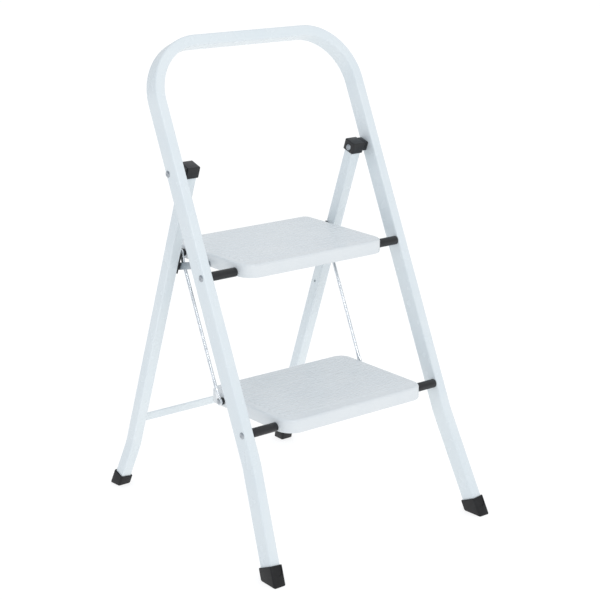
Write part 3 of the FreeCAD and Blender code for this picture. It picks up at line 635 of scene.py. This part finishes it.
def sleeve(which, name, side):
    """Black plastic spacer on the pivot rod, with soft ends."""
    low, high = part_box(which + "_sleeve_" + name)
    inner, outer = sorted((abs(low.x), abs(high.x)))
    radius = (high.z - low.z) / 2
    soft = SLEEVE_SOFT
    profile = [(inner, PIVOT_ROD / 2), (inner, radius - SLEEVE_END_WALL)]
    bend = arc_profile(radius - soft, soft)
    profile += [(inner + soft - o, r) for o, r in bend]
    profile += [(outer - soft + o, r) for o, r in reversed(bend)]
    profile += [(outer, radius - SLEEVE_END_WALL), (outer, PIVOT_ROD / 2)]
    pivot = TREAD_PIVOTS[which]
    mesh = finished(turned(profile, pivot, side, 64), "sleeve", NYLON)
    piece(which + "_spacer_sleeve_" + name, mesh, "front",
          [which + "_sleeve_" + name], 40)


def tie_bush(which, name, side):
    """Black plastic bush between a tread's side and a tie rod's eye."""
    node = which + "_tie_bush_" + name
    low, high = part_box(node)
    inner, outer = sorted((abs(low.x), abs(high.x)))
    radius = (high.z - low.z) / 2
    soft = BUSH_SOFT
    profile = [(inner, radius - soft), (inner + soft, radius), (outer - soft, radius),
               (outer, radius - soft), (outer, BUSH_BORE / 2)]
    centre = Vector((0, (low.y + high.y) / 2, (low.z + high.z) / 2))
    mesh = finished(turned(profile, centre, side, 48), "bush", NYLON)
    piece(which + "_spacer_bush_" + name, mesh, which + "_step", [node], 40)


# ---------------------------------------------------------------- hinge caps
CAP_WALL = mm(2.2)
CAP_HEIGHT = mm(20)
CAP_ABOVE_HINGE = mm(12.1)
BOSS_SHORTER = mm(3)
CAP_SEAM = mm(0.9)
CAP_ROUND = mm(1.8)
BOSS_ROUND = mm(1.5)
BOSS_SUNK = mm(0.5)            # how far the boss reaches into the cap
BOSS_GAP = mm(0.3)             # between the boss and the front leg
WELL_DEPTH = mm(0.9)           # the rivet's well in the cap's inner face
WELL_MOUTH = mm(6.6)
WELL_FLOOR = mm(6.4)
WELL_TOOL = mm(2)


def block(x0, x1, y0, y1, z0, z1, place):
    """A box between two stations along each axis, then placed."""
    build = bmesh.new()
    middle = Matrix.Translation(((x0 + x1) / 2, (y0 + y1) / 2, (z0 + z1) / 2))
    bmesh.ops.create_cube(build, size=1.0,
                          matrix=middle @ Matrix.Diagonal((abs(x1 - x0), y1 - y0, z1 - z0, 1)))
    bmesh.ops.transform(build, matrix=place, verts=build.verts)
    return build


def hinge_cap(name, side):
    """Moulded cap on the rear leg's top, with a boss that reaches to the front leg and a rivet well."""
    place = Matrix.Translation((0, REAR_FOOT_Y, 0)) @ Matrix.Rotation(REAR_LEAN, 4, "X")
    top = HINGE.z / math.cos(REAR_LEAN) + CAP_ABOVE_HINGE
    bottom = top - CAP_HEIGHT
    half = REAR_TUBE / 2 + CAP_WALL
    middle = side * REAR_HALF_SPACING
    cap = block(middle - half, middle + half, -half, half, bottom, top, place)
    shell = finished(cap, "cap_shell", NYLON, bevel=CAP_ROUND, segments=4)
    boss_start = side * (REAR_HALF_SPACING + half - BOSS_SUNK)
    boss_end = side * (FRONT_INNER - BOSS_GAP)
    boss = block(boss_start, boss_end, -REAR_TUBE / 2, REAR_TUBE / 2,
                 bottom + BOSS_SHORTER, top - CAP_SEAM, place)
    boss_mesh = finished(boss, "cap_boss", NYLON, bevel=BOSS_ROUND, segments=4)
    mesh = both(shell, boss_mesh, "cap", NYLON)
    well = Vector((side * (REAR_HALF_SPACING - half), HINGE.y, HINGE.z))
    drill = turned([(-WELL_TOOL, WELL_MOUTH), (WELL_DEPTH, WELL_FLOOR)], well, side, 48)
    mesh = drilled_mesh(mesh, finished(drill, "drill", NYLON))
    piece("hinge_cap_moulding_" + name, mesh, "rear", ["hinge_cap_" + name], 30)


# ---------------------------------------------------------------- treads
TREAD_SKIRT = mm(22.5)
TREAD_SHEET = mm(1.4)
TREAD_EDGE_ROUND = mm(4)
TREAD_FRONT_CORNER = mm(28)
TREAD_REAR_CORNER = {"upper": mm(12), "lower": mm(22)}
TREAD_LIP = mm(9)
TREAD_HEM = ((1.5, 0.0), (0.5, 0.4), (0.0, 1.5))     # inset and height round the skirt's lower edge
TREAD_TOP_RING = mm(2)         # flat ring inside the rounded edge
TREAD_LEAST_CORNER = mm(0.5)
RIB_COUNT = 14
RIB_PITCH = mm(12.85)
RIB_WIDTH = mm(10.4)
RIB_RISE = mm(1.2)
RIB_FLAT = mm(0.7)
RIB_ROWS = 9
RIB_END_STEPS = 10
RIB_SIDE_MARGIN = mm(16)
RIB_BACK_SHIFT = mm(3)
ROUND_STEPS = 5


def tread_outline(which, inset, height, steps=10):
    """Plan of a tread at a height: larger corners at the front than at the rear."""
    low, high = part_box(which + "_tread")
    points = []
    rear = TREAD_REAR_CORNER[which]
    corners = ((high.x, high.y, rear, 0), (low.x, high.y, rear, 90),
               (low.x, low.y, TREAD_FRONT_CORNER, 180), (high.x, low.y, TREAD_FRONT_CORNER, 270))
    for x, y, radius, start in corners:
        cx = x - math.copysign(radius, x)
        cy = y - radius if start < 180 else y + radius
        bend = max(radius - inset, TREAD_LEAST_CORNER)
        shift = radius - inset - bend
        for i in range(steps + 1):
            turn = math.radians(start + 90 * i / steps)
            points.append(Vector((cx + math.copysign(shift, x) + bend * math.cos(turn),
                                  cy + bend * math.sin(turn), height)))
    return points


def tread_pan(which):
    """Pressed steel pan: flat top with a rounded edge, a skirt all round and a lip turned in below."""
    top = TREAD_TOPS[which]
    bottom = top - TREAD_SKIRT
    rings = [tread_outline(which, TREAD_LIP, bottom)]
    for inset, up in TREAD_HEM:
        rings.append(tread_outline(which, mm(inset), bottom + mm(up)))
    for i in range(ROUND_STEPS + 1):
        turn = math.radians(90 * i / ROUND_STEPS)
        inset = TREAD_EDGE_ROUND * (1 - math.cos(turn))
        rings.append(tread_outline(which, inset, top - TREAD_EDGE_ROUND * (1 - math.sin(turn))))
    rings.append(tread_outline(which, TREAD_EDGE_ROUND + TREAD_TOP_RING, top))
    build = loft(rings, close_start=False)
    bmesh.ops.recalc_face_normals(build, faces=build.faces)
    mesh = mesh_from(build, "pan")
    mesh.materials.append(TREAD_COAT)
    holder = placed("pan_blank", mesh)
    wall = holder.modifiers.new("sheet", "SOLIDIFY")
    wall.thickness = TREAD_SHEET
    wall.offset = -1
    return baked(holder)


def rib_section(across):
    """Height of a pressed rib across its width, with a soft foot."""
    share = min(max((abs(across) - RIB_FLAT) / (RIB_WIDTH / 2 - RIB_FLAT), 0.0), 1.0)
    return RIB_RISE * (0.5 + 0.5 * math.cos(math.pi * share))


def first_rib(which, sunk=mm(0.03)):
    """One rib with round ends; the others are copies of it."""
    low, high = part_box(which + "_tread")
    middle = (low.y + high.y) / 2 + RIB_BACK_SHIFT
    y = middle - RIB_PITCH * (RIB_COUNT - 1) / 2
    half = high.x - RIB_SIDE_MARGIN
    reach = RIB_WIDTH / 2
    build = bmesh.new()
    rings = []
    for k in range(RIB_ROWS + 1):
        radius = reach * (1 - k / RIB_ROWS)
        z = TREAD_TOPS[which] + rib_section(radius) - sunk
        ring = []
        for end, start in ((1, -90), (-1, 90)):
            for i in range(RIB_END_STEPS + 1):
                turn = math.radians(start + 180 * i / RIB_END_STEPS)
                x = end * half + radius * math.cos(turn)
                ring.append(build.verts.new((x, y + radius * math.sin(turn), z)))
        rings.append(ring)
    count = len(rings[0])
    for ring, inner in zip(rings, rings[1:]):
        for i in range(count):
            j = (i + 1) % count
            build.faces.new((ring[i], ring[j], inner[j], inner[i]))
    bmesh.ops.remove_doubles(build, verts=build.verts, dist=mm(0.01))
    bmesh.ops.recalc_face_normals(build, faces=build.faces)
    return mesh_from(build, "rib")


def tread(which):
    """A pan with its row of ribs."""
    ribs = grown(which + "_ribs", RIBS, first_rib(which),
                 {"Count": RIB_COUNT, "Pitch": RIB_PITCH, "Material": TREAD_COAT})
    mesh = both(tread_pan(which), ribs, "tread", TREAD_COAT)
    piece(which + "_ribbed_tread", mesh, which + "_step", [which + "_tread"], 35)


# ---------------------------------------------------------------- tie rods and fold links
TIE_ROD = mm(5.6)
TIE_EYE = mm(13)
TIE_EYE_THICKNESS = mm(3)
TIE_TONGUE = mm(9)
TIE_NECK = mm(16)
TIE_HOLE = mm(5.1)
TIE_EYE_SOFT = mm(0.7)
LINK_WIDTH = mm(12)
LINK_SOFT = mm(0.4)
LINK_END_STEPS = 16
STUD = mm(6)
STUD_COLLAR = mm(11)
STUD_COLLAR_LENGTH = mm(1.7)


def tie_rod(name, side):
    """Plated rod whose ends are pressed flat into eyes."""
    x = joint["tie_pivot_" + name].x
    upper = Vector((x, UPPER_TIE.y, UPPER_TIE.z))
    lower = Vector((x, LOWER_PIVOT.y + TIE_OFFSET.y, LOWER_PIVOT.z + TIE_OFFSET.z))
    up = (upper - lower).normalized()
    across = Vector((1, 0, 0))
    behind = across.cross(up)
    length = (upper - lower).length
    tongue = TIE_EYE / 2 + TIE_EYE_THICKNESS * 0.3

    def section(along, width, thickness, corner):
        centre = lower + up * along
        return [centre + across * a + behind * b for a, b in rounded_outline(thickness, width, corner)]

    stations = [(tongue * 0.6, 0.0), (tongue, 0.0)]
    stations += [(tongue + TIE_NECK * t, t) for t in (0.2, 0.4, 0.6, 0.8, 1.0)]
    rings = []
    for along, share in stations + [(length - a, s) for a, s in reversed(stations)]:
        ease = share * share * (3 - 2 * share)
        width = TIE_TONGUE + (TIE_ROD - TIE_TONGUE) * ease
        thickness = TIE_EYE_THICKNESS + (TIE_ROD - TIE_EYE_THICKNESS) * ease
        rings.append(section(along, width, thickness, min(width, thickness) * (0.3 + 0.19 * ease)))
    build = loft(rings)
    half = TIE_EYE_THICKNESS / 2
    eye = TIE_EYE / 2
    soft = TIE_EYE_SOFT
    profile = [(-half, TIE_HOLE / 2), (-half, eye - soft), (-half + soft * 0.4, eye - soft * 0.3),
               (0, eye), (half - soft * 0.4, eye - soft * 0.3), (half, eye - soft), (half, TIE_HOLE / 2)]
    for centre in (lower, upper):
        merged(build, turned(profile, centre, 1, 48))
    mesh = finished(build, "tie_rod", DRAWN_ZINC)
    piece("tie_rod_plated_" + name, mesh, "tie_" + name, ["tie_rod_" + name], 45)


def fold_link(name, side):
    """Flat plated strip with round ends, and the stud in its front end."""
    low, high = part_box("fold_link_" + name)
    stud_low, stud_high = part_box("link_stud_" + name)
    rear = LINK_REAR
    front = Vector((0, (stud_low.y + stud_high.y) / 2, (stud_low.z + stud_high.z) / 2))
    radius = LINK_WIDTH / 2
    direction = math.atan2(front.z - rear.z, front.y - rear.y)
    outline = []
    for centre, start in ((front, -90), (rear, 90)):
        for i in range(LINK_END_STEPS + 1):
            turn = direction + math.radians(start + 180 * i / LINK_END_STEPS)
            outline.append((centre.y + radius * math.cos(turn), centre.z + radius * math.sin(turn)))
    soft = LINK_SOFT
    rings = []
    for x, shrink in ((low.x, soft), (low.x + soft, 0), (high.x - soft, 0), (high.x, soft)):
        factor = 1 - shrink / radius
        ring = []
        for y, z in outline:
            point = Vector((0, y, z))
            near = front if (point - front).length < (point - rear).length else rear
            ring.append(Vector((x, near.y + (y - near.y) * factor, near.z + (z - near.z) * factor)))
        rings.append(ring)
    build = loft(rings)
    inner, outer = sorted((abs(stud_low.x), abs(stud_high.x)))
    collar = STUD_COLLAR / 2
    collar_end = inner + STUD_COLLAR_LENGTH
    stud = [(inner, mm(4.6)), (inner + mm(0.3), collar), (inner + mm(1.5), collar), (collar_end, mm(5)),
            (collar_end, STUD / 2), (outer, STUD / 2)]
    merged(build, turned(stud, front, side, 40))
    mesh = finished(build, "fold_link", PRESSED_ZINC)
    piece("fold_link_strip_" + name, mesh, "link_" + name,
          ["fold_link_" + name, "link_stud_" + name], 40)


# ---------------------------------------------------------------- softened plain nodes and welds
BEAD_PITCH = mm(1.3)
BEAD_RADIUS = mm(1.7)
BEAD_RIPPLE = 0.18             # every second drop is this much smaller
BEAD_FROM_EDGE = mm(1)


def softened(node, name, body, material):
    """A copy of a plain node, its loose triangles merged and its edges softened."""
    build = bmesh.new()
    build.from_mesh(frame["nodes"][node].data)
    bmesh.ops.remove_doubles(build, verts=build.verts, dist=mm(0.005))
    bmesh.ops.dissolve_limit(build, angle_limit=math.radians(0.5), verts=build.verts, edges=build.edges)
    mesh = finished(build, name, material, bevel=EDGE_SOFT, segments=2, bevel_angle=40)
    piece(name, mesh, body, [node], 35)


def weld_bead(name, body, spots):
    """Short welds: overlapping drops laid in a row from one point to another."""
    points = []
    sizes = []
    for start, end in spots:
        count = max(3, round((end - start).length / BEAD_PITCH))
        for i in range(count + 1):
            points.append(start.lerp(end, i / count))
            sizes.append(1 - BEAD_RIPPLE * (i % 2))
    mesh = bpy.data.meshes.new(name + "_spots")
    mesh.from_pydata(points, [], [])
    grow = mesh.attributes.new("grow", "FLOAT_VECTOR", "POINT")
    for item, size in zip(grow.data, sizes):
        item.vector = (size, size, size)
    drop = bmesh.new()
    bmesh.ops.create_icosphere(drop, subdivisions=2, radius=BEAD_RADIUS)
    part = part_for_copies(name + "_drop", drop)
    result = grown(name, COPIES, mesh, {"Part": part, "Material": FRAME_COAT})
    piece(name, result, body, (), 60)


# ---------------------------------------------------------------- the whole stool
def build_front():
    hoop_tube()
    for name, side in SIDES:
        boot("front", name, side)
        for which in ("upper", "lower"):
            sleeve(which, name, side)
    for which in ("upper", "lower"):
        pivot_rod(which)
    spots = [(Vector((side * FRONT_OUTER, point.y, point.z)), side)
             for point in (UPPER_PIVOT, LOWER_PIVOT, HINGE) for _, side in SIDES]
    rivets("frame_rivet_heads", "front", "frame", spots)
    inner = REAR_INNER - CAP_WALL + WELL_DEPTH
    hinge_spots = [(Vector((side * inner, HINGE.y, HINGE.z)), -side) for _, side in SIDES]
    rivets("hinge_rivet_heads", "front", "hinge", hinge_spots, ["frame_rivet_left", "frame_rivet_right"])


def build_rear():
    for name, side in SIDES:
        rear_leg_tube(name, side)
        hinge_cap(name, side)
        boot("rear", name, side)
        softened("leg_guide_" + name, "leg_guide_plate_" + name, "rear", NYLON)
    softened("rear_brace", "rear_brace_bar", "rear", FRAME_COAT)
    low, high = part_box("rear_brace")
    middle_y = (low.y + high.y) / 2
    weld_bead("brace_weld_beads", "rear",
              [(Vector((side * REAR_INNER, middle_y, low.z + BEAD_FROM_EDGE)),
                Vector((side * REAR_INNER, middle_y, high.z - BEAD_FROM_EDGE))) for _, side in SIDES])
    head_foot = RIVETS["link"][1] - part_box("link_rivet_left")[1].x
    spots = [(Vector((side * head_foot, LINK_REAR.y, LINK_REAR.z)), -side) for _, side in SIDES]
    rivets("link_rivet_heads", "rear", "link", spots, ["link_rivet_left", "link_rivet_right"])


def build_steps():
    for which in ("upper", "lower"):
        tread(which)
        body = which + "_step"
        softened(which + "_stiffener", which + "_stiffener_channel", body, TREAD_COAT)
        spots = []
        nodes = []
        for name, side in SIDES:
            tie_bush(which, name, side)
            node = which + "_tie_rivet_" + name
            low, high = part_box(node)
            outer = max(abs(low.x), abs(high.x)) - RIVETS["tie"][1]
            centre = Vector((side * outer, (low.y + high.y) / 2, (low.z + high.z) / 2))
            spots.append((centre, side))
            nodes.append(node)
        rivets(which + "_tie_rivet_heads", body, "tie", spots, nodes)


def build_links():
    for name, side in SIDES:
        tie_rod(name, side)
        fold_link(name, side)


# ---------------------------------------------------------------- floor and light
FLOOR_HALF = 60
FLOOR_GLOW = 0.775             # lifts the floor to the plain white of the backdrop


def make_floor():
    build = bmesh.new()
    bmesh.ops.create_grid(build, x_segments=1, y_segments=1, size=FLOOR_HALF)
    mesh = mesh_from(build, "floor")
    floor = placed("floor", mesh)
    material, tree, shader, place = start_material("plain_white_studio_floor", Roughness=0.9,
                                                   Specular_IOR_Level=0.1, Emission_Strength=FLOOR_GLOW)
    shader.inputs["Emission Color"].default_value = linear("#FFFFFF")
    cloud = add(tree, "ShaderNodeTexNoise", {"Vector": place, "Scale": 0.8})
    tone = shaded_between(tree, cloud.outputs["Fac"], "#969696", "#9A9A9A")
    tree.links.new(tone, shader.inputs["Base Color"])
    mesh.materials.append(material)


def softbox(name, place, target, width, height, power):
    """A plain white area light that faces a point."""
    data = bpy.data.lights.new(name, "AREA")
    data.shape = "RECTANGLE"
    data.size = width
    data.size_y = height
    data.energy = power
    light = placed(name, data)
    turn = (Vector(target) - Vector(place)).to_track_quat("-Z", "Y").to_matrix().to_4x4()
    light.matrix_world = Matrix.Translation(place) @ turn


def make_light():
    """An even studio: darker to the left, brighter above, a soft key in front and a strip at the side."""
    world = bpy.data.worlds.new("studio")
    world.use_nodes = True
    tree = world.node_tree
    around = add(tree, "ShaderNodeTexCoord").outputs["Generated"]
    toward = add(tree, "ShaderNodeSeparateXYZ", {"Vector": around})
    across = add(tree, "ShaderNodeMapRange", {"Value": toward.outputs["X"], "From Min": -1.0,
                                              "From Max": 1.0})
    height = add(tree, "ShaderNodeMapRange", {"Value": toward.outputs["Z"], "To Min": 0.88, "To Max": 1.12})
    sky = shaded_between(tree, across.outputs["Result"], "#C6CCD4", "#ECEEF0", 0.1, 0.62)
    back = tree.nodes["Background"]
    tree.links.new(sky, back.inputs["Color"])
    tree.links.new(height.outputs["Result"], back.inputs["Strength"])
    bpy.context.scene.world = world
    bpy.context.scene.view_settings.view_transform = "Standard"
    softbox("front key", place=(-1.5, -3.6, 2.9), target=(0, 0, 0.4), width=1.3, height=0.9, power=30)
    softbox("edge strip", place=(-2.76, -1.87, 1.45), target=(0, 0, 0.45), width=0.45, height=1.4, power=5)


build_front()
build_rear()
build_steps()
build_links()
make_floor()
make_light()
